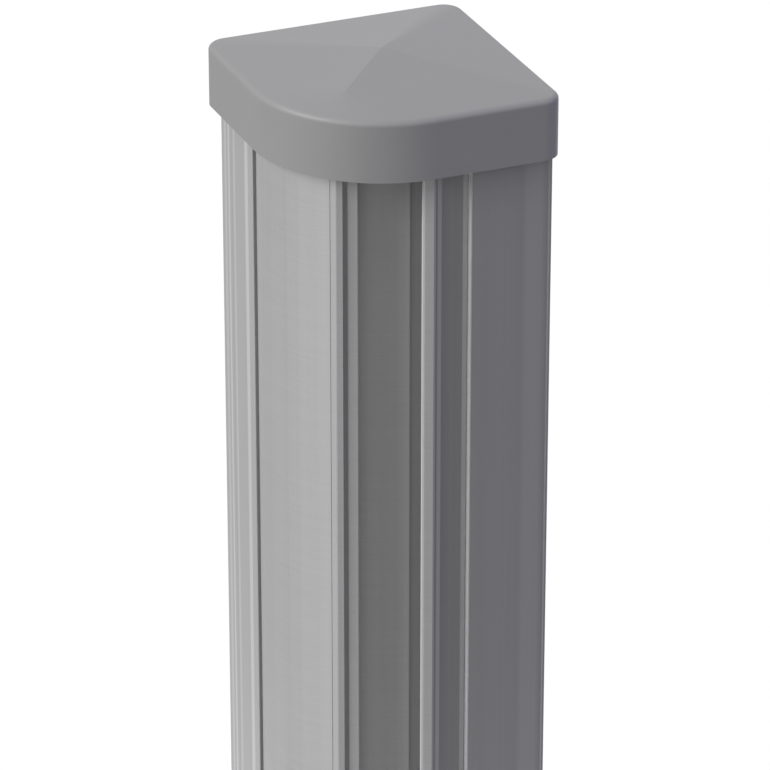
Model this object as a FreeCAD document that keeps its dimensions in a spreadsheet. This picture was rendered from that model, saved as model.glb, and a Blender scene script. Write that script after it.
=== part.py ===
import FreeCAD, Part
import Sketcher

import math
import os
import re

# A fence post: an aluminium extrusion with a broad front corner, a strip that clips over one of its
# two board channels, and a moulded cap. Millimetres, Z up. The axis of the cap's rounded corner is
# the Z axis, and the post's lower end is at Z = 0. The two front faces look along -X and -Y, so the
# spine between the channels lies on the diagonal towards -X, -Y.

SIZES = {
    # extrusion: overall section
    "post_length": 1040.0,
    "post_width": 90.0,
    "front_set": 4.2,           # how much nearer to the axis the front faces lie than the back ones
    "wall": 2.0,
    "corner_round": 1.1,
    "edge_round": 0.5,          # rib and groove edges
    "ridge_round": 1.2,         # ridge of the spine
    # across each facet of the front corner, from the spine's ridge to the nose
    "facet_angle": 22.5,        # turn of a facet from its front face, degrees
    "spine_lip": 2.5,
    "slot_width": 1.7,          # slot for the leg of a cover strip
    "slot_depth": 3.5,
    "rib_width": 3.8,
    "rib_drop": 1.4,            # rib below the facet, room for the cover strip
    "channel_width": 22.1,      # channel for the ends of the boards
    "channel_depth": 10.6,
    "pocket_width": 4.1,
    "pocket_depth": 3.0,        # below the channel floor
    "lip_width": 4.2,
    "lip_round": 1.2,
    # along each front face, from the nose: seat of the cover strip's outer edge
    "nose_width": 0.7,
    "land_width": 2.7,
    "land_drop": 1.0,
    "recess_width": 8.3,
    "recess_depth": 1.7,
    "groove_width": 2.4,
    "groove_depth": 3.0,
    # fine V groove beside each side corner
    "flute_land": 0.05,         # flat between the groove and the rounded corner
    "flute_width": 1.1,
    "flute_depth": 0.2,
    # cover strip
    "cover_gauge": 1.2,
    "cover_gap": 0.2,           # cover to the nose it passes over
    "cover_side_gap": 0.3,      # foot to the groove, and leg to the floor of the slot
    "cover_edge_drop": 0.5,     # outer edge below the front face
    "cover_foot": 1.6,
    # cap
    "cap_wall": 1.4,
    "cap_gap": 0.2,             # skirt to the back faces of the post
    "cap_corner": 7.4,
    "cap_skirt": 22.6,          # lower edge to the foot of the roof
    "cap_rim_round": 2.2,
    "cap_rise": 7.9,            # foot of the roof to its peak
    "cap_crease": 23.6,         # front crease of the roof, its length along each front face
    "cap_tip": 0.4,             # half the width of the blunt peak
    "cap_plate": 3.0,           # face that sits on the post to the foot of the roof
    "fin_gauge": 1.6,
    "fin_depth": 12.0,
    "fin_length": 20.0,
    "fin_gap": 0.25,            # fin to the wall that it stands along
    "fin_margin": 3.2,          # end of a front fin to the nearest corner of the hollow
}

# sizes that follow from the others
DERIVED = {
    "front_reach": "(post_width - front_set) / 2",      # axis to each front face
    "back_reach": "(post_width + front_set) / 2",       # axis to each back face
    # the plane of a facet lies where the widths across it just reach from the ridge to the nose
    "facet_width": "spine_lip + slot_width + rib_width + channel_width + lip_width",
    "facet_sin": "sin(facet_angle)",
    "facet_cos": "cos(facet_angle)",
    "ridge_lean": "tan(45 - facet_angle)",
    "facet_reach": "(front_reach / facet_sin - facet_width) / (facet_cos / facet_sin - ridge_lean)",
    # places across a facet, from the point nearest to the axis
    "slot_out": "spine_lip - facet_reach * ridge_lean",
    "slot_in": "slot_out + slot_width",
    "channel_start": "slot_in + rib_width",
    "channel_end": "channel_start + channel_width",
    "pocket_start": "channel_end - pocket_width",
    "pocket_floor": "channel_depth + pocket_depth",
    # places along a front face, from the axis
    "nose_start": "(front_reach * facet_cos - facet_reach) / facet_sin",
    "nose_end": "nose_start + nose_width",
    "land_end": "nose_end + land_width",
    "groove_near": "land_end + recess_width",
    "groove_far": "groove_near + groove_width",
    "flute_middle": "back_reach - corner_round - flute_land - flute_width / 2",
    # step inside the hollow, behind the groove
    "step_y": "groove_depth + wall - front_reach",
    "step_x": "(facet_sin * step_y + channel_end + wall) / facet_cos",
    # cover strip
    "cover_start": "slot_out + (slot_width - cover_gauge) / 2",
    "cover_leg": "slot_depth - cover_side_gap",
    "cover_end": "groove_near - cover_side_gap",
    # cap: the rounding of its rim ends where it has the slope of the roof
    "cap_half": "back_reach + cap_gap + cap_wall",
    "back_round": "cap_corner - cap_wall - cap_gap",
    "cap_seat": "cap_skirt - cap_plate",                # lower edge to the face on the post
    "roof_run": "sqrt(cap_rise * cap_rise + cap_half * cap_half)",
    "rim_top": "cap_skirt + cap_rim_round * (1 + (cap_rise - roof_run) / cap_half)",
    "roof_inset": "cap_rim_round * (1 - cap_rise / roof_run)",
    "roof_foot": "rim_top - cap_rim_round * (1 - cap_half / roof_run)",
    "roof_peak": "cap_skirt + cap_rise",
    "crease_level": "cap_skirt + cap_rise * (1 - cap_crease / cap_half)",
    "crease_corner": "cap_corner * cap_crease / cap_half",
    "back_fin": "back_reach - wall - fin_gap",
    "front_fin": "front_reach - wall - fin_gap",
}

SHEET = "Sizes"

doc = FreeCAD.newDocument("FencePost")
sheet = doc.addObject("Spreadsheet::Sheet", SHEET)
cells = {alias: str(value) for alias, value in SIZES.items()}
cells.update({alias: f"={rule}" for alias, rule in DERIVED.items()})
for row, (alias, content) in enumerate(cells.items(), start=1):
    sheet.set(f"A{row}", alias)
    sheet.setAlias(f"B{row}", alias)
for row, content in enumerate(cells.values(), start=1):
    sheet.set(f"B{row}", content)
doc.recompute()


def formula(text):
    """The text as a document expression: each size name becomes a cell of the sheet."""
    return re.sub(r"[a-z_]+", lambda word: f"{SHEET}.{word[0]}" if word[0] in cells else word[0], text)


def number(text):
    """The present value of a formula in size names."""
    return float(sheet.evalExpression(formula(text)))


def origin_plane(body, role):
    """One of the body's own origin planes."""
    return next(item for item in body.Origin.OriginFeatures if item.Role == role)


def new_body(label):
    """An empty body whose label names the sub-part."""
    body = doc.addObject("PartDesign::Body", label)
    body.Label = label
    return body


def new_sketch(body, name, height="0"):
    """A sketch parallel to the XY plane of its body, at a height given by a formula."""
    sketch = body.newObject("Sketcher::SketchObject", name)
    sketch.AttachmentSupport = [(origin_plane(body, "XY_Plane"), "")]
    sketch.MapMode = "FlatFace"
    sketch.setExpression("AttachmentOffset.Base.z", formula(height))
    return sketch


def add_bound(sketch, kind, *where, size):
    """A constraint whose value is bound to a formula."""
    index = sketch.addConstraint(Sketcher.Constraint(kind, *where, number(size)))
    sketch.setExpression(f"Constraints[{index}]", formula(size))


def pin_point(sketch, edge, end, place):
    """Holds one end of an edge at a place: a pair of formulas measured from the origin."""
    add_bound(sketch, "DistanceX", -1, 1, edge, end, size=place[0])
    add_bound(sketch, "DistanceY", -1, 1, edge, end, size=place[1])


def add_chain(sketch, places):
    """A chain of straight edges through the places. Returns the indices of its edges."""
    points = [FreeCAD.Vector(number(x), number(y), 0) for x, y in places]
    edges = [sketch.addGeometry(Part.LineSegment(a, b)) for a, b in zip(points, points[1:])]
    for edge, following in zip(edges, edges[1:]):
        sketch.addConstraint(Sketcher.Constraint("Coincident", edge, 2, following, 1))
    for edge, place in zip(edges, places):
        pin_point(sketch, edge, 1, place)
    pin_point(sketch, edges[-1], 2, places[-1])
    return edges


def add_polygon(sketch, places):
    """A closed outline of straight edges through the places."""
    edges = add_chain(sketch, places)
    points = [FreeCAD.Vector(number(x), number(y), 0) for x, y in (places[-1], places[0])]
    last = sketch.addGeometry(Part.LineSegment(*points))
    sketch.addConstraint(Sketcher.Constraint("Coincident", edges[-1], 2, last, 1))
    sketch.addConstraint(Sketcher.Constraint("Coincident", last, 2, edges[0], 1))


def add_cap_outline(sketch, half, corner, front):
    """The cap's plan: a square about the axis with one broad rounded corner towards -X, -Y."""
    side, small, broad = number(half), number(corner), number(front)
    radii = [broad, small, small, small]
    formulas = [front, corner, corner, corner]
    signs = [(-1, -1), (1, -1), (1, 1), (-1, 1)]
    arcs = []
    for turn, (radius, (sx, sy)) in enumerate(zip(radii, signs)):
        centre = FreeCAD.Vector(sx * (side - radius), sy * (side - radius), 0)
        start = math.pi + turn * math.pi / 2
        circle = Part.Circle(centre, FreeCAD.Vector(0, 0, 1), radius)
        arcs.append(sketch.addGeometry(Part.ArcOfCircle(circle, start, start + math.pi / 2)))
    lines = []
    for arc, following in zip(arcs, arcs[1:] + arcs[:1]):
        ends = (sketch.getPoint(arc, 2), sketch.getPoint(following, 1))
        lines.append(sketch.addGeometry(Part.LineSegment(*ends)))
        sketch.addConstraint(Sketcher.Constraint("Tangent", arc, 2, lines[-1], 1))
        sketch.addConstraint(Sketcher.Constraint("Tangent", lines[-1], 2, following, 1))
    for line, kind in zip(lines, ("Horizontal", "Vertical", "Horizontal", "Vertical")):
        sketch.addConstraint(Sketcher.Constraint(kind, line))
    for line, kind, sign in zip(lines, ("DistanceY", "DistanceX") * 2, ("-", "", "", "-")):
        add_bound(sketch, kind, -1, 1, line, 1, size=f"{sign}({half})")
    for arc, radius in zip(arcs, formulas):
        add_bound(sketch, "Radius", arc, size=radius)


def pad(body, name, sketch, length, reverse=False):
    """A pad of a sketch, of a length given by a formula."""
    feature = body.newObject("PartDesign::Pad", name)
    feature.Profile = sketch
    feature.setExpression("Length", formula(length))
    feature.Reversed = reverse
    doc.recompute()
    return feature


def fillet_uprights(body, name, base, places, radius):
    """Rounds the upright edges of a feature that stand at the places."""
    wanted = [(number(x), number(y)) for x, y in places]
    names = []
    for index, edge in enumerate(base.Shape.Edges, start=1):
        box = edge.BoundBox
        upright = box.ZLength > 0.9 * base.Shape.BoundBox.ZLength
        if upright and any(math.hypot(box.XMin - x, box.YMin - y) < 1e-4 for x, y in wanted):
            names.append(f"Edge{index}")
    if len(names) != len(wanted):
        raise RuntimeError(f"{name}: {len(names)} edges found for {len(wanted)} places")
    feature = body.newObject("PartDesign::Fillet", name)
    feature.Base = (base, names)
    feature.setExpression("Radius", formula(radius))
    doc.recompute()
    return feature


# Places in the section


def on_facet(along, depth="0"):
    """A place on the right facet: across it, away from the spine, and below it."""
    x = f"({along}) * facet_cos - (facet_reach - ({depth})) * facet_sin"
    y = f"-({along}) * facet_sin - (facet_reach - ({depth})) * facet_cos"
    return x, y


def on_spine(depth="0"):
    """A place on the diagonal, at a depth below the facets."""
    both = f"-(facet_reach - ({depth})) / (facet_sin + facet_cos)"
    return both, both


def on_face(along, depth="0"):
    """A place on the right front face: along it from the axis, and below it."""
    return along, f"-(front_reach - ({depth}))"


def swapped(place):
    """The place mirrored in the diagonal."""
    return place[1], place[0]


# Post: half of the section is drawn, padded, and mirrored in the diagonal plane

RIDGE = on_spine()
RIB_EDGE = on_facet("channel_start", "rib_drop")
LIP_EDGE = on_facet("channel_end")
GROOVE_EDGE = on_face("groove_far")
SIDE_CORNER = on_face("back_reach")
BACK_CORNER = ("back_reach", "back_reach")
INNER_CORNER = ("back_reach - wall", "back_reach - wall")

OUTER_PLACES = [
    RIDGE,
    on_facet("slot_out"),
    on_facet("slot_out", "slot_depth"),
    on_facet("slot_in", "slot_depth"),
    on_facet("slot_in", "rib_drop"),
    RIB_EDGE,
    on_facet("channel_start", "channel_depth"),
    on_facet("pocket_start", "channel_depth"),
    on_facet("pocket_start", "pocket_floor"),
    on_facet("channel_end", "pocket_floor"),
    LIP_EDGE,
    on_face("nose_start"),
    on_face("nose_end"),
    on_face("nose_end", "land_drop"),
    on_face("land_end", "land_drop"),
    on_face("land_end", "recess_depth"),
    on_face("groove_near", "recess_depth"),
    on_face("groove_near", "groove_depth"),
    on_face("groove_far", "groove_depth"),
    GROOVE_EDGE,
    on_face("flute_middle - flute_width / 2"),
    on_face("flute_middle", "flute_depth"),
    on_face("flute_middle + flute_width / 2"),
    SIDE_CORNER,
    BACK_CORNER,
]
INNER_PLACES = [
    INNER_CORNER,
    on_face("back_reach - wall", "wall"),
    on_face("groove_far + wall", "wall"),
    ("groove_far + wall", "step_y"),
    ("step_x", "step_y"),
    on_facet("channel_end + wall", "pocket_floor + wall"),
    on_facet("pocket_start - wall", "pocket_floor + wall"),
    on_facet("pocket_start - wall", "channel_depth + wall"),
    on_spine("channel_depth + wall"),
]
SPINE_CHAMBER_PLACES = [
    on_spine("channel_depth"),
    on_facet("channel_start - wall", "channel_depth"),
    on_facet("channel_start - wall", "slot_depth + wall"),
    on_spine("slot_depth + wall"),
]


def build_post():
    """The extrusion, with its spine, channels, clip seats and flutes."""
    body = new_body("post")
    section = new_sketch(body, "PostHalfSection")
    add_polygon(section, OUTER_PLACES + INNER_PLACES + SPINE_CHAMBER_PLACES)
    half = pad(body, "PostHalf", section, "post_length")

    diagonal = body.newObject("PartDesign::Plane", "PostDiagonal")
    diagonal.AttachmentSupport = [(origin_plane(body, "XZ_Plane"), "")]
    diagonal.MapMode = "FlatFace"
    quarter_turn = FreeCAD.Rotation(FreeCAD.Vector(0, 1, 0), 45)
    diagonal.AttachmentOffset = FreeCAD.Placement(FreeCAD.Vector(), quarter_turn)
    whole = body.newObject("PartDesign::Mirrored", "PostWhole")
    whole.Originals = [half]
    whole.MirrorPlane = (diagonal, [""])
    body.Tip = whole
    doc.recompute()

    sides = [SIDE_CORNER, swapped(SIDE_CORNER)]
    rounded = fillet_uprights(body, "PostSideCorners", whole, sides, "corner_round")
    rounded = fillet_uprights(body, "PostBackCorner", rounded, [BACK_CORNER], "back_round")
    rounded = fillet_uprights(body, "PostInnerCorner", rounded, [INNER_CORNER], "back_round - wall")
    lips = [LIP_EDGE, swapped(LIP_EDGE)]
    rounded = fillet_uprights(body, "PostLips", rounded, lips, "lip_round")
    rounded = fillet_uprights(body, "PostRidge", rounded, [RIDGE], "ridge_round")
    fine = [RIB_EDGE, swapped(RIB_EDGE), GROOVE_EDGE, swapped(GROOVE_EDGE)]
    fillet_uprights(body, "PostFineEdges", rounded, fine, "edge_round")
    return body


# Cover strip: an arched strip over the left channel, with a leg in the slot and a foot in the recess


def add_arc(sketch, start, through, end):
    """An arc between two pinned places that passes through a third. Returns its index."""
    points = [FreeCAD.Vector(number(x), number(y), 0) for x, y in (start, through, end)]
    arc = sketch.addGeometry(Part.Arc(*points))
    return arc


def arc_through(sketch, arc, place):
    """Makes an arc pass through a place, held by a construction point."""
    x, y = number(place[0]), number(place[1])
    point = sketch.addGeometry(Part.Point(FreeCAD.Vector(x, y, 0)), True)
    pin_point(sketch, point, 1, place)
    sketch.addConstraint(Sketcher.Constraint("PointOnObject", point, 1, arc))


def near_end(sketch, arc, place):
    """Which end of an arc, 1 or 2, lies at a place."""
    target = FreeCAD.Vector(number(place[0]), number(place[1]), 0)
    return min((1, 2), key=lambda end: sketch.getPoint(arc, end).distanceToPoint(target))


def build_cover():
    """The clip-on strip, drawn over the left channel."""
    body = new_body("cover_strip")
    section = new_sketch(body, "CoverSection")
    outer_start = swapped(on_facet("cover_start"))
    outer_end = swapped(on_face("cover_end", "cover_edge_drop"))
    crown = swapped(on_face("nose_start", "-(cover_gauge + cover_gap)"))
    inner_crown = swapped(on_face("nose_start", "-cover_gap"))

    outer = add_arc(section, outer_start, crown, outer_end)
    arc_through(section, outer, crown)
    foot = add_chain(section, [
        outer_end,
        swapped(on_face("cover_end", "recess_depth")),
        swapped(on_face("cover_end - cover_foot", "recess_depth")),
    ])
    leg = add_chain(section, [
        swapped(on_facet("cover_start + cover_gauge", "cover_leg")),
        swapped(on_facet("cover_start", "cover_leg")),
        outer_start,
    ])
    section.addConstraint(
        Sketcher.Constraint("Coincident", outer, near_end(section, outer, outer_end), foot[0], 1))
    section.addConstraint(
        Sketcher.Constraint("Coincident", outer, near_end(section, outer, outer_start), leg[-1], 2))

    # the inner face is concentric with the outer one and meets the foot's and the leg's inner sides
    circle = section.Geometry[outer]
    inner_radius = circle.Radius - number("cover_gauge")
    foot_x = number("cover_end - cover_foot")
    foot_top = FreeCAD.Vector(
        circle.Center.x - math.sqrt(inner_radius ** 2 - (foot_x - circle.Center.y) ** 2), foot_x, 0)
    leg_foot = section.getPoint(leg[0], 1)
    leg_way = (section.getPoint(leg[-1], 2) - section.getPoint(leg[-1], 1)).normalize()
    to_centre = leg_foot - circle.Center
    half_b = to_centre.dot(leg_way)
    reach = -half_b + math.sqrt(half_b ** 2 - to_centre.dot(to_centre) + inner_radius ** 2)
    leg_top = leg_foot + leg_way * reach
    middle = FreeCAD.Vector(number(inner_crown[0]), number(inner_crown[1]), 0)
    inner = section.addGeometry(Part.Arc(foot_top, middle, leg_top))
    foot_side = section.addGeometry(Part.LineSegment(section.getPoint(foot[-1], 2), foot_top))
    leg_side = section.addGeometry(Part.LineSegment(leg_top, leg_foot))
    inner_foot, inner_leg = (
        min((1, 2), key=lambda end: section.getPoint(inner, end).distanceToPoint(target))
        for target in (foot_top, leg_top))
    for first in (
        (foot[-1], 2, foot_side, 1),
        (foot_side, 2, inner, inner_foot),
        (inner, inner_leg, leg_side, 1),
        (leg_side, 2, leg[0], 1),
        (inner, 3, outer, 3),
    ):
        section.addConstraint(Sketcher.Constraint("Coincident", *first))
    section.addConstraint(Sketcher.Constraint("Horizontal", foot_side))
    section.addConstraint(Sketcher.Constraint("Parallel", leg_side, leg[-1]))
    arc_through(section, inner, inner_crown)
    pad(body, "CoverLength", section, "post_length")
    return body


# Cap: skirt, low roof with a level rim, and fins that stand in the hollow of the post


def loft(body, kind, name, sections):
    """A ruled loft, added or cut, through sketches of the same outline."""
    feature = body.newObject(kind, name)
    feature.Profile = sections[0]
    feature.Sections = sections[1:]
    feature.Ruled = True
    doc.recompute()
    return feature


def add_rectangle(sketch, low, high):
    """An upright rectangle between two corners, each a pair of formulas."""
    add_polygon(sketch, [low, (high[0], low[1]), high, (low[0], high[1])])


def level_edges(feature, height):
    """Names of the edges of a feature that lie at one height."""
    names = []
    for index, edge in enumerate(feature.Shape.Edges, start=1):
        box = edge.BoundBox
        if abs(box.ZMin - height) < 1e-4 and box.ZLength < 1e-4:
            names.append(f"Edge{index}")
    return names


def build_cap():
    """The moulded cap, drawn with its lower edge at zero and set on the post."""
    body = new_body("cap")
    outline = new_sketch(body, "CapOutline")
    add_cap_outline(outline, "cap_half", "cap_corner", "cap_half")
    skirt = pad(body, "CapSkirt", outline, "rim_top")
    rim = body.newObject("PartDesign::Fillet", "CapRim")
    rim.Base = (skirt, level_edges(skirt, number("rim_top")))
    rim.setExpression("Radius", formula("cap_rim_round"))
    doc.recompute()

    # from the rim's rounding to the end of the front crease, and on to the peak
    foot = new_sketch(body, "CapRoofFoot", "roof_foot")
    inset = [f"{size} - roof_inset" for size in ("cap_half", "cap_corner", "cap_half")]
    add_cap_outline(foot, *inset)
    middle = new_sketch(body, "CapRoofMiddle", "crease_level")
    add_cap_outline(middle, "cap_crease", "crease_corner", "cap_tip")
    peak = new_sketch(body, "CapRoofPeak", "roof_peak")
    add_cap_outline(peak, "cap_tip", "cap_tip / 4", "cap_tip / 4")
    loft(body, "PartDesign::AdditiveLoft", "CapRoof", [foot, middle, peak])

    inside = new_sketch(body, "CapInside")
    thinner = [f"{size} - cap_wall" for size in ("cap_half", "cap_corner", "cap_half")]
    add_cap_outline(inside, *thinner)
    cavity = body.newObject("PartDesign::Pocket", "CapCavity")
    cavity.Profile = inside
    cavity.setExpression("Length", formula("cap_seat"))
    cavity.Reversed = True
    doc.recompute()

    # a fin along each wall of the hollow; those at the front stop short of the groove's step
    fins = new_sketch(body, "CapFins", "cap_seat")
    back_low = ("(back_reach - fin_length) / 2", "back_fin - fin_gauge")
    back_high = ("(back_reach + fin_length) / 2", "back_fin")
    front_low = ("groove_far + wall + fin_margin", "-front_fin")
    front_high = ("back_reach - wall - fin_margin", "fin_gauge - front_fin")
    for low, high in ((back_low, back_high), (front_low, front_high)):
        add_rectangle(fins, low, high)
        add_rectangle(fins, swapped(low), swapped(high))
    pad(body, "CapFinsDown", fins, "fin_depth", reverse=True)
    body.setExpression("Placement.Base.z", formula("post_length - cap_seat"))
    return body


def main():
    """Builds every sub-part, tests the document and writes one file for each sub-part."""
    bodies = [build_post(), build_cover(), build_cap()]
    doc.recompute()
    for item in doc.Objects:
        if "Invalid" in item.State or "Error" in item.State:
            raise RuntimeError(f"{item.Name} failed: {item.State}")
    for body in bodies:
        if body.Shape.isNull() or not body.Shape.isValid():
            raise RuntimeError(f"{body.Label} has no valid shape")
    os.makedirs("parts", exist_ok=True)
    for body in bodies:
        body.Shape.exportStep(f"parts/{body.Label}.step")
        box = body.Shape.BoundBox
        size = f"{box.XLength:.2f} x {box.YLength:.2f} x {box.ZLength:.2f} mm"
        print(f"{body.Label}: {len(body.Shape.Solids)} solid, {size}, {body.Shape.Volume / 1000:.1f} cm3")


main()
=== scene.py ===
"""Dresses, lights and frames an aluminium corner fence post with a clip-on strip and a moulded cap."""

import logging
import math
from dataclasses import dataclass, field
from enum import Enum
from typing import Any, Mapping, Sequence, Union

import bpy
from mathutils import Matrix, Vector

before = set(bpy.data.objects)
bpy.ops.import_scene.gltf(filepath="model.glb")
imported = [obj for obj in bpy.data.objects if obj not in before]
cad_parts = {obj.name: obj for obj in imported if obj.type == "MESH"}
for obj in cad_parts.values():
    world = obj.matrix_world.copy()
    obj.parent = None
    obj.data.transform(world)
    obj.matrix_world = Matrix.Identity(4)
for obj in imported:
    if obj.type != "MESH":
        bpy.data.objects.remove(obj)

LOG = logging.getLogger("fence_post")

Colour = tuple[float, float, float]
WHITE = (1.0, 1.0, 1.0, 1.0)
NOISE_MIDDLE = 0.5


class RayKind(Enum):
    """Outputs of the Light Path node that the studio treats as looking at its background."""

    CAMERA = "Is Camera Ray"
    GLOSSY = "Is Glossy Ray"
    TRANSMISSION = "Is Transmission Ray"


class BrushArea(Enum):
    """Where the cross-brushing of an extrusion shows."""

    ALL_OVER = "all over"
    FRONT_FACETS = "front facets"


class Signal:
    """A shader output that Python's operators turn into Math nodes."""

    def __init__(self, graph: "ShaderGraph", socket: bpy.types.NodeSocket) -> None:
        """Wraps one output socket of a graph."""
        self.graph = graph
        self.socket = socket

    def __add__(self, other: "Value") -> "Signal":
        """This signal plus another."""
        return self.graph.maths("ADD", self, other)

    def __radd__(self, other: "Value") -> "Signal":
        """A number plus this signal."""
        return self.graph.maths("ADD", other, self)

    def __sub__(self, other: "Value") -> "Signal":
        """This signal less another."""
        return self.graph.maths("SUBTRACT", self, other)

    def __mul__(self, other: "Value") -> "Signal":
        """This signal times another."""
        return self.graph.maths("MULTIPLY", self, other)


Value = Union[Signal, float, int, Sequence[float]]


class BuiltNode:
    """A node in a graph, whose outputs are read by name."""

    def __init__(self, graph: "ShaderGraph", node: bpy.types.Node) -> None:
        """Wraps a node of a graph."""
        self.graph = graph
        self.node = node

    def __getitem__(self, name: str) -> Signal:
        """One of the node's outputs."""
        return Signal(self.graph, self.node.outputs[name])


class ShaderGraph:
    """The node tree of a material or of the world, cleared and ready to be filled."""

    def __init__(self, owner: bpy.types.ID) -> None:
        """Clears the owner's node tree and keeps it."""
        owner.use_nodes = True
        self.tree: bpy.types.NodeTree = owner.node_tree
        self.tree.nodes.clear()

    def node(
        self,
        kind: str,
        settings: Mapping[str, Any] | None = None,
        inputs: Mapping[Union[str, int], Value] | None = None,
    ) -> BuiltNode:
        """Adds any kind of node.

        Args:
            kind: The node's type.
            settings: Attributes of the node.
            inputs: Values or links of its sockets, by name or by place.

        Returns:
            The node, whose outputs can be read.
        """
        made = self.tree.nodes.new(kind)
        for name, value in (settings or {}).items():
            setattr(made, name, value)
        for name, value in (inputs or {}).items():
            socket = made.inputs[name]
            if isinstance(value, Signal):
                self.tree.links.new(value.socket, socket)
            else:
                socket.default_value = value
        return BuiltNode(self, made)

    def maths(self, operation: str, first: Value, second: Value) -> Signal:
        """Adds a Math node.

        Args:
            operation: The Math node's operation.
            first: The first operand.
            second: The second operand.

        Returns:
            The node's result.
        """
        return self.node("ShaderNodeMath", {"operation": operation}, {0: first, 1: second})["Value"]

    def stretched(self, scale: Colour) -> Signal:
        """Object coordinates in metres, scaled along each axis."""
        place = self.node("ShaderNodeTexCoord")["Object"]
        mapping = self.node("ShaderNodeMapping", {"vector_type": "POINT"}, {"Vector": place, "Scale": scale})
        return mapping["Vector"]

    def noise(self, scale: Colour, detail: float) -> Signal:
        """A noise pattern about 0, with its own repeat along each axis.

        Args:
            scale: Features per metre along X, Y and Z.
            detail: Octaves of finer noise.

        Returns:
            The noise value.
        """
        inputs = {"Vector": self.stretched(scale), "Scale": 1.0, "Detail": detail, "Roughness": 0.5}
        return self.node("ShaderNodeTexNoise", {"noise_dimensions": "3D"}, inputs)["Fac"] - NOISE_MIDDLE

    def clamped(
        self, signal: Signal, low: float, high: float, to_low: float = 0.0, to_high: float = 1.0,
    ) -> Signal:
        """A smooth change from one level to another as a signal crosses a range.

        Args:
            signal: What is measured.
            low: Where the change starts.
            high: Where it ends.
            to_low: The level before it.
            to_high: The level after it.

        Returns:
            The level.
        """
        settings = {"interpolation_type": "SMOOTHSTEP"}
        inputs = {"Value": signal, "From Min": low, "From Max": high, "To Min": to_low, "To Max": to_high}
        return self.node("ShaderNodeMapRange", settings, inputs)["Result"]

    def above(self, signal: Signal, edge: float, soft: float) -> Signal:
        """1 where a signal is past an edge and 0 before it, with a fade of twice the soft width."""
        return self.clamped(signal, edge - soft, edge + soft)

    def under(self, signal: Signal, edge: float, soft: float) -> Signal:
        """1 where a signal is before an edge and 0 past it, with a fade of twice the soft width."""
        return self.clamped(signal, edge - soft, edge + soft, 1.0, 0.0)

    def tinted(self, colour: Colour, level: Signal) -> Signal:
        """A colour made lighter or darker by a level about 1."""
        inputs = {0: colour, "Scale": level}
        return self.node("ShaderNodeVectorMath", {"operation": "SCALE"}, inputs)["Vector"]

    def dot(self, vector: Signal, direction: Colour) -> Signal:
        """The part of a vector that lies along a direction."""
        inputs = {0: vector, 1: direction}
        return self.node("ShaderNodeVectorMath", {"operation": "DOT_PRODUCT"}, inputs)["Value"]

    def facing(self, direction: Colour) -> Signal:
        """How far the surface faces a fixed direction, from -1 to 1."""
        return self.dot(self.node("ShaderNodeNewGeometry")["Normal"], direction)

    def along(self, direction: Colour) -> Signal:
        """How far along a direction from the axis a point lies, in metres."""
        return self.dot(self.node("ShaderNodeTexCoord")["Object"], direction)

    def sees_background(self) -> Signal:
        """1 for rays that look at the background, and 0 for rays that gather soft light."""
        path = self.node("ShaderNodeLightPath")
        seen = path[RayKind.CAMERA.value]
        for kind in (RayKind.GLOSSY, RayKind.TRANSMISSION):
            seen = self.maths("MAXIMUM", seen, path[kind.value])
        return seen

    def finish_surface(self, shader: Signal) -> None:
        """Links a shader to the material's output."""
        self.node("ShaderNodeOutputMaterial", inputs={"Surface": shader})


class Heading:
    """Level directions that the walls of the extrusion face or run along."""

    TILT = math.radians(22.5)
    LEFT = (-1.0, 0.0, 0.0)
    FRONT = (0.0, -1.0, 0.0)
    ALONG_LEFT = (0.0, 1.0, 0.0)
    ALONG_FRONT = (1.0, 0.0, 0.0)
    FACET = (-math.sin(TILT), -math.cos(TILT), 0.0)
    ALONG_FACET = (math.cos(TILT), -math.sin(TILT), 0.0)
    COVER = (-math.cos(TILT), -math.sin(TILT), 0.0)
    ALONG_COVER = (-math.sin(TILT), math.cos(TILT), 0.0)
    CORNER = (-math.sqrt(0.5), -math.sqrt(0.5), 0.0)


@dataclass(frozen=True)
class PaintedLightBand:
    """A lighter or darker band painted along the whole length of a wall: painted light and painted shade
    that stand in for highlights, reflections and shade in recesses.

    The band lies on walls that face one way. It runs from start to end along a level direction, in metres
    from the axis, and fades over twice the soft width at each side. Where lowest or highest is given, it
    lies only on walls at least, or at most, that far from the axis.
    """

    wall: Colour
    along: Colour
    start: float
    end: float
    gain: float
    soft: float = 0.0004
    lowest: float | None = None
    highest: float | None = None
    turned_away: float = 0.93
    facing_it: float = 0.98
    step_soft: float = 0.0004

    def level(self, graph: ShaderGraph) -> Signal:
        """How much painted light or shade the band adds to the metal's lightness.

        Args:
            graph: The material's graph.

        Returns:
            The gain inside the band, and 0 outside it or on other walls.
        """
        place = graph.along(self.along)
        mask = graph.clamped(graph.facing(self.wall), self.turned_away, self.facing_it)
        mask = mask * graph.above(place, self.start, self.soft) * graph.under(place, self.end, self.soft)
        if self.lowest is not None:
            mask = mask * graph.above(graph.along(self.wall), self.lowest, self.step_soft)
        if self.highest is not None:
            mask = mask * graph.under(graph.along(self.wall), self.highest, self.step_soft)
        return mask * self.gain


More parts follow.
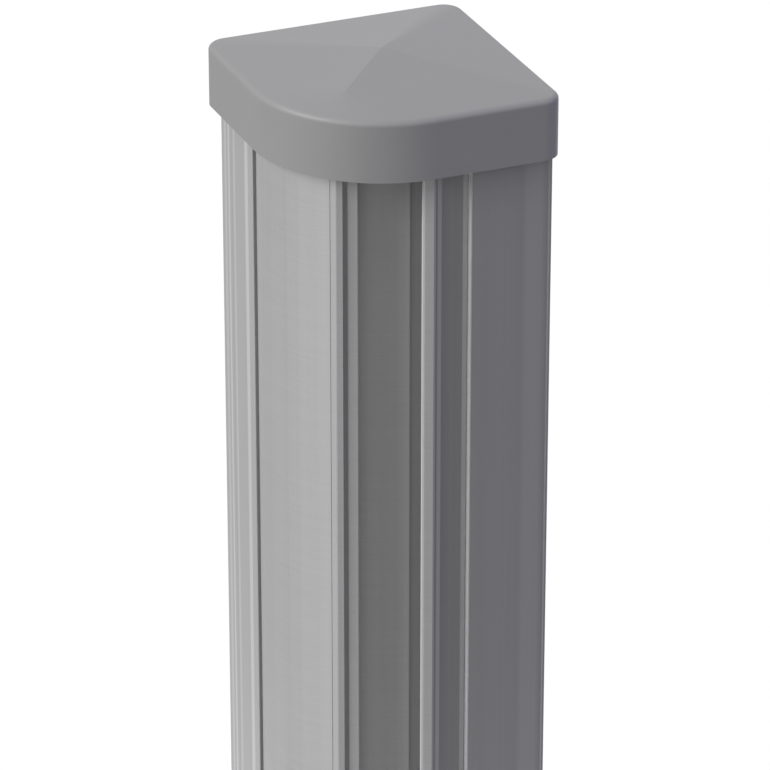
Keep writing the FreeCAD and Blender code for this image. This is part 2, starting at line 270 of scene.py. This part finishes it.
POST_PAINTED_LIGHT_BANDS = (
    # left front face: painted light over the face and painted highlight streaks; last a painted highlight on
    # the far wall of the right clip groove, which faces the same way
    PaintedLightBand(Heading.LEFT, Heading.ALONG_LEFT, 0.0160, 0.0480, 0.08),
    PaintedLightBand(Heading.LEFT, Heading.ALONG_LEFT, 0.0205, 0.0235, 0.36),
    PaintedLightBand(Heading.LEFT, Heading.ALONG_LEFT, 0.0332, 0.0350, 0.24),
    PaintedLightBand(Heading.LEFT, Heading.ALONG_LEFT, 0.0357, 0.0366, -0.08),
    PaintedLightBand(Heading.LEFT, Heading.ALONG_LEFT, 0.0386, 0.0400, 0.40),
    PaintedLightBand(Heading.LEFT, Heading.ALONG_LEFT, 0.0417, 0.0439, 0.24),
    PaintedLightBand(Heading.LEFT, Heading.ALONG_LEFT, -0.0431, -0.0402, 1.25),
    # right front face, from the nose to the side corner: a painted shade line beside the nose, painted light
    # on the land, painted shade in the recess, painted light in the clip groove, a slight painted shade over
    # the face and a painted highlight near the side corner
    PaintedLightBand(Heading.FRONT, Heading.ALONG_FRONT, 0.0028, 0.0037, -0.40, soft=0.0003),
    PaintedLightBand(Heading.FRONT, Heading.ALONG_FRONT, 0.0025, 0.0053, 0.20),
    PaintedLightBand(Heading.FRONT, Heading.ALONG_FRONT, 0.0053, 0.0137, -0.20, lowest=0.0400),
    PaintedLightBand(Heading.FRONT, Heading.ALONG_FRONT, 0.0137, 0.0160, 0.25),
    PaintedLightBand(Heading.FRONT, Heading.ALONG_FRONT, 0.0163, 0.0480, -0.04),
    PaintedLightBand(Heading.FRONT, Heading.ALONG_FRONT, 0.0365, 0.0433, 0.10, soft=0.0008),
    # right facet: painted light on the left of the channel floor and painted shade on its right, then
    # painted light on the rib and the lip
    PaintedLightBand(Heading.FACET, Heading.ALONG_FACET, -0.0200, -0.0020, 0.07, soft=0.0040, highest=0.0330),
    PaintedLightBand(Heading.FACET, Heading.ALONG_FACET, 0.0020, 0.0200, -0.14, soft=0.0060, highest=0.0330),
    PaintedLightBand(Heading.FACET, Heading.ALONG_FACET, -0.0200, 0.0200, 0.16, lowest=0.0350),
)

COVER_PAINTED_LIGHT_BANDS = (
    # painted shade across the middle of the strip and painted light towards its edge at the spine
    PaintedLightBand(Heading.COVER, Heading.ALONG_COVER, -0.0025, 0.0075, -0.08, soft=0.0045),
    PaintedLightBand(Heading.CORNER, Heading.ALONG_COVER, -0.0200, -0.0085, 0.08, soft=0.0025),
)


@dataclass(frozen=True)
class Grain:
    """A noise pattern in a surface, and what it does to the colour, the roughness and the relief."""

    scale: Colour
    detail: float
    lightness: float
    roughness: float
    relief: float = 0.0


@dataclass(frozen=True)
class BrushedAluminium:
    """Bare extruded aluminium: die lines along the length and faint cross-brushing, with strips of painted
    light and shade where given.
    """

    name: str
    colour: Colour = (0.43, 0.43, 0.432)
    metallic: float = 0.4
    roughness: float = 0.42
    die_lines: Grain = Grain((700.0, 700.0, 0.8), detail=3.0, lightness=0.12, roughness=0.10, relief=0.6)
    brushing: Grain = Grain((30.0, 30.0, 1500.0), detail=3.0, lightness=0.14, roughness=0.16, relief=0.5)
    cloud: Grain = Grain((14.0, 14.0, 5.0), detail=2.0, lightness=0.05, roughness=0.08)
    bump_strength: float = 0.06
    bump_depth: float = 0.0004
    brush_area: BrushArea = BrushArea.FRONT_FACETS
    brush_from: float = 0.74
    brush_full: float = 0.88
    # strips of painted light and painted shade along the walls
    bands: tuple[PaintedLightBand, ...] = ()

    def brush_mask(self, graph: ShaderGraph) -> Value:
        """Where the cross-brushing shows, from 0 to 1."""
        if self.brush_area is BrushArea.ALL_OVER:
            return 1.0
        return graph.clamped(graph.facing(Heading.CORNER), self.brush_from, self.brush_full)

    def build(self) -> bpy.types.Material:
        """Makes the material.

        Returns:
            The finished material.
        """
        material = bpy.data.materials.new(self.name)
        graph = ShaderGraph(material)
        brush = graph.noise(self.brushing.scale, self.brushing.detail) * self.brush_mask(graph)
        layers = (
            (self.die_lines, graph.noise(self.die_lines.scale, self.die_lines.detail)),
            (self.brushing, brush),
            (self.cloud, graph.noise(self.cloud.scale, self.cloud.detail)),
        )
        level: Value = 1.0
        roughness: Value = self.roughness
        height: Value = 0.0
        for grain, pattern in layers:
            level = pattern * grain.lightness + level
            roughness = pattern * grain.roughness + roughness
            height = pattern * grain.relief + height
        # painted light and shade: each band lightens or darkens a strip of the walls
        for band in self.bands:
            level = level + band.level(graph)
        bump = graph.node("ShaderNodeBump", inputs={
            "Height": height, "Strength": self.bump_strength, "Distance": self.bump_depth})
        shader = graph.node("ShaderNodeBsdfPrincipled", inputs={
            "Base Color": graph.tinted(self.colour, level),
            "Metallic": self.metallic,
            "Roughness": roughness,
            "Normal": bump["Normal"],
        })
        graph.finish_surface(shader["BSDF"])
        return material


@dataclass(frozen=True)
class MouldedPlastic:
    """Satin grey plastic with a fine moulded grain."""

    name: str
    colour: Colour = (0.28, 0.28, 0.283)
    roughness: float = 0.46
    grain: Grain = Grain((1800.0, 1800.0, 1800.0), detail=2.0, lightness=0.05, roughness=0.12)
    flow: Grain = Grain((25.0, 25.0, 60.0), detail=2.0, lightness=0.05, roughness=0.06)
    bump_strength: float = 0.08
    bump_depth: float = 0.0002

    def build(self) -> bpy.types.Material:
        """Makes the material.

        Returns:
            The finished material.
        """
        material = bpy.data.materials.new(self.name)
        graph = ShaderGraph(material)
        grain = graph.noise(self.grain.scale, self.grain.detail)
        flow = graph.noise(self.flow.scale, self.flow.detail)
        level = 1.0 + grain * self.grain.lightness + flow * self.flow.lightness
        bump = graph.node("ShaderNodeBump", inputs={
            "Height": grain, "Strength": self.bump_strength, "Distance": self.bump_depth})
        shader = graph.node("ShaderNodeBsdfPrincipled", inputs={
            "Base Color": graph.tinted(self.colour, level),
            "Roughness": self.roughness + grain * self.grain.roughness + flow * self.flow.roughness,
            "Normal": bump["Normal"],
        })
        graph.finish_surface(shader["BSDF"])
        return material


@dataclass(frozen=True)
class FloorFinish:
    """A pale floor that looks white and keeps a soft shadow."""

    name: str = "studio_floor_finish"
    colour: Colour = (0.8, 0.8, 0.8)
    shadow_share: float = 0.3
    glow: float = 1.13
    bounce: Colour = (0.3, 0.3, 0.3)

    def build(self) -> bpy.types.Material:
        """Makes the material: see-through from below, dimmer to rays that gather soft light.

        Returns:
            The finished material.
        """
        material = bpy.data.materials.new(self.name)
        graph = ShaderGraph(material)
        white = graph.node("ShaderNodeEmission", inputs={"Color": WHITE, "Strength": self.glow})
        pale = graph.node("ShaderNodeBsdfDiffuse", inputs={"Color": (*self.colour, 1.0)})
        shown = graph.node("ShaderNodeMixShader", inputs={
            0: self.shadow_share, 1: white["Emission"], 2: pale["BSDF"]})
        dim = graph.node("ShaderNodeBsdfDiffuse", inputs={"Color": (*self.bounce, 1.0)})
        floor = graph.node("ShaderNodeMixShader", inputs={
            0: graph.sees_background(), 1: dim["BSDF"], 2: shown["Shader"]})
        clear = graph.node("ShaderNodeBsdfTransparent")
        below = graph.node("ShaderNodeNewGeometry")["Backfacing"]
        whole = graph.node("ShaderNodeMixShader", inputs={0: below, 1: floor["Shader"], 2: clear["BSDF"]})
        graph.finish_surface(whole["Shader"])
        return material


@dataclass(frozen=True)
class CardFinish:
    """Evenly lit grey board of a studio card, given by how bright the metal sees it."""

    name: str
    glow: float

    def build(self) -> bpy.types.Material:
        """Makes the material.

        Returns:
            The finished material.
        """
        material = bpy.data.materials.new(self.name)
        graph = ShaderGraph(material)
        grey = (self.glow, self.glow, self.glow, 1.0)
        board = graph.node("ShaderNodeEmission", inputs={"Color": grey, "Strength": 1.0})
        graph.finish_surface(board["Emission"])
        return material


@dataclass
class PostExtrusion:
    """The aluminium post."""

    node: str = "post"
    finish: BrushedAluminium = BrushedAluminium("post_aluminium", bands=POST_PAINTED_LIGHT_BANDS)

    def dress(self) -> None:
        """Gives the post its brushed finish."""
        dress_node(self.node, self.finish.build())


@dataclass
class CoverStrip:
    """The strip that clips over the left channel."""

    node: str = "cover_strip"
    finish: BrushedAluminium = BrushedAluminium(
        "cover_aluminium", colour=(0.445, 0.445, 0.447), brush_area=BrushArea.ALL_OVER, bands=COVER_PAINTED_LIGHT_BANDS)

    def dress(self) -> None:
        """Gives the strip its cross-brushed finish."""
        dress_node(self.node, self.finish.build())


@dataclass
class PostCap:
    """The moulded cap."""

    node: str = "cap"
    finish: MouldedPlastic = MouldedPlastic("cap_plastic")

    def dress(self) -> None:
        """Gives the cap its satin plastic."""
        dress_node(self.node, self.finish.build())


def dress_node(name: str, material: bpy.types.Material) -> None:
    """Puts one material on the whole of a solid.

    Args:
        name: The solid's name in the frame.
        material: Its finish.
    """
    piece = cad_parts[name]
    for slot in piece.material_slots:
        slot.material = material
    if not piece.material_slots:
        piece.data.materials.append(material)
    LOG.info("%s: %s, %d faces", name, material.name, len(piece.data.polygons))


@dataclass
class ViewAxes:
    """The camera's directions, from its bearing and its height above the horizon, in degrees."""

    bearing: float = 22.601
    elevation: float = 26.107

    def ahead(self) -> Vector:
        """The direction in which the camera looks."""
        turn, dip = math.radians(self.bearing), math.radians(self.elevation)
        return Vector((math.sin(turn) * math.cos(dip), math.cos(turn) * math.cos(dip), -math.sin(dip)))

    def right(self) -> Vector:
        """The direction to the right of the picture."""
        turn = math.radians(self.bearing)
        return Vector((math.cos(turn), -math.sin(turn), 0.0))

    def up(self) -> Vector:
        """The direction to the top of the picture."""
        return self.right().cross(self.ahead())

    def around(self, turn: float) -> Vector:
        """A level direction from the post.

        Args:
            turn: Degrees from the camera's side of the post, positive towards the picture's right.

        Returns:
            A level unit vector.
        """
        towards = Vector((-self.ahead().x, -self.ahead().y, 0.0)).normalized()
        angle = math.radians(turn)
        return towards * math.cos(angle) + self.right() * math.sin(angle)


@dataclass
class StudioCamera:
    """The camera, placed from a point on the axis near the cap's lower edge."""

    axes: ViewAxes = field(default_factory=ViewAxes)
    target: Vector = field(default_factory=lambda: Vector((0.0, 0.0, 1.0208)))
    distance: float = 1.75674
    aside: float = 0.001207
    below: float = 0.090942
    focal_pixels: float = 4987.17
    picture_pixels: float = 770.0
    sensor: float = 36.0
    clip_near: float = 0.05
    clip_far: float = 200.0

    def build(self) -> bpy.types.Object:
        """Makes the camera and sets it as the scene's own.

        Returns:
            The camera object.
        """
        data = bpy.data.cameras.new("photo_camera")
        data.sensor_width = self.sensor
        data.lens = self.focal_pixels / self.picture_pixels * self.sensor
        data.clip_start, data.clip_end = self.clip_near, self.clip_far
        camera = bpy.data.objects.new("photo_camera", data)
        right, up, ahead = self.axes.right(), self.axes.up(), self.axes.ahead()
        place = self.target + right * self.aside - up * self.below - ahead * self.distance
        turn = Matrix((right, up, -ahead)).transposed()
        camera.matrix_world = Matrix.Translation(place) @ turn.to_4x4()
        bpy.context.scene.collection.objects.link(camera)
        bpy.context.scene.camera = camera
        LOG.info("camera: %.1f mm lens", data.lens)
        return camera


@dataclass
class Card:
    """A curved upright card on the floor, seen only in reflections, between two bearings in degrees."""

    name: str
    start: float
    end: float
    radius: float
    high: float
    finish: CardFinish
    steps: int = 24

    def build(self, axes: ViewAxes) -> bpy.types.Object:
        """Makes the card.

        Args:
            axes: The camera's directions, from which the card's bearings are measured.

        Returns:
            The card's object.
        """
        points: list[Vector] = []
        for step in range(self.steps + 1):
            turn = self.start + (self.end - self.start) * step / self.steps
            foot = axes.around(turn) * self.radius
            points += [foot, Vector((foot.x, foot.y, self.high))]
        faces = [(2 * i, 2 * i + 1, 2 * i + 3, 2 * i + 2) for i in range(self.steps)]
        mesh = bpy.data.meshes.new(self.name)
        mesh.from_pydata(points, [], faces)
        mesh.materials.append(self.finish.build())
        card = bpy.data.objects.new(self.name, mesh)
        card.visible_camera = False
        card.visible_diffuse = False
        card.visible_shadow = False
        bpy.context.scene.collection.objects.link(card)
        return card


@dataclass
class SoftSun:
    """A broad, distant lamp."""

    name: str
    turn: float
    height: float
    strength: float
    spread: float
    colour: Colour = (1.0, 1.0, 1.0)
    stand: float = 3.0

    def build(self, axes: ViewAxes) -> bpy.types.Object:
        """Hangs the lamp.

        Args:
            axes: The camera's directions, from which the lamp's bearing is measured.

        Returns:
            The lamp's object.
        """
        data = bpy.data.lights.new(self.name, "SUN")
        data.energy = self.strength
        data.angle = math.radians(self.spread)
        data.color = self.colour
        lamp = bpy.data.objects.new(self.name, data)
        height = math.radians(self.height)
        source = axes.around(self.turn) * math.cos(height) + Vector((0.0, 0.0, math.sin(height)))
        lamp.rotation_euler = source.to_track_quat("Z", "Y").to_euler()
        lamp.location = source * self.stand
        bpy.context.scene.collection.objects.link(lamp)
        return lamp


@dataclass
class Studio:
    """Floor, soft light and cards."""

    axes: ViewAxes = field(default_factory=ViewAxes)
    floor_half: float = 40.0
    ambient: float = 0.59
    lamps: tuple[SoftSun, ...] = (
        SoftSun("key_light", turn=-65.0, height=30.0, strength=2.12, spread=30.0),
        SoftSun("cool_fill", turn=95.0, height=15.0, strength=0.40, spread=60.0, colour=(0.2, 0.0, 1.0)),
    )
    cards: tuple[Card, ...] = (
        Card("front_card", -25.0, 20.0, radius=0.9, high=1.18, finish=CardFinish("front_card_board", 0.23)),
        Card("right_card", 20.0, 130.0, radius=0.9, high=1.18, finish=CardFinish("right_card_board", 0.045)),
        Card("left_card", -160.0, -95.0, radius=1.3, high=2.0, finish=CardFinish("left_card_board", 0.51)),
    )

    def build_floor(self) -> None:
        """Lays the floor."""
        half = self.floor_half
        corners = [(-half, -half, 0), (half, -half, 0), (half, half, 0), (-half, half, 0)]
        mesh = bpy.data.meshes.new("studio_floor")
        mesh.from_pydata(corners, [], [(0, 1, 2, 3)])
        mesh.materials.append(FloorFinish().build())
        floor = bpy.data.objects.new("studio_floor", mesh)
        bpy.context.scene.collection.objects.link(floor)

    def build_world(self) -> None:
        """Lights the surroundings softly behind a white background."""
        world = bpy.data.worlds.new("studio_world")
        bpy.context.scene.world = world
        graph = ShaderGraph(world)
        strength = graph.clamped(graph.sees_background(), 0.0, 1.0, self.ambient, 1.0)
        sky = graph.node("ShaderNodeBackground", inputs={"Color": WHITE, "Strength": strength})
        graph.node("ShaderNodeOutputWorld", inputs={"Surface": sky["Background"]})

    def build(self) -> None:
        """Builds the whole studio."""
        self.build_floor()
        self.build_world()
        for piece in (*self.lamps, *self.cards):
            piece.build(self.axes)
        LOG.info("studio: floor, world, %d lamps and %d cards", len(self.lamps), len(self.cards))


def main() -> None:
    logging.basicConfig(level=logging.INFO, format="%(name)s %(message)s")
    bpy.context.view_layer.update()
    bpy.context.scene.view_settings.view_transform = "Standard"
    for piece in (PostExtrusion(), CoverStrip(), PostCap()):
        piece.dress()
    StudioCamera().build()
    Studio().build()


if __name__ == "__main__":
    main()
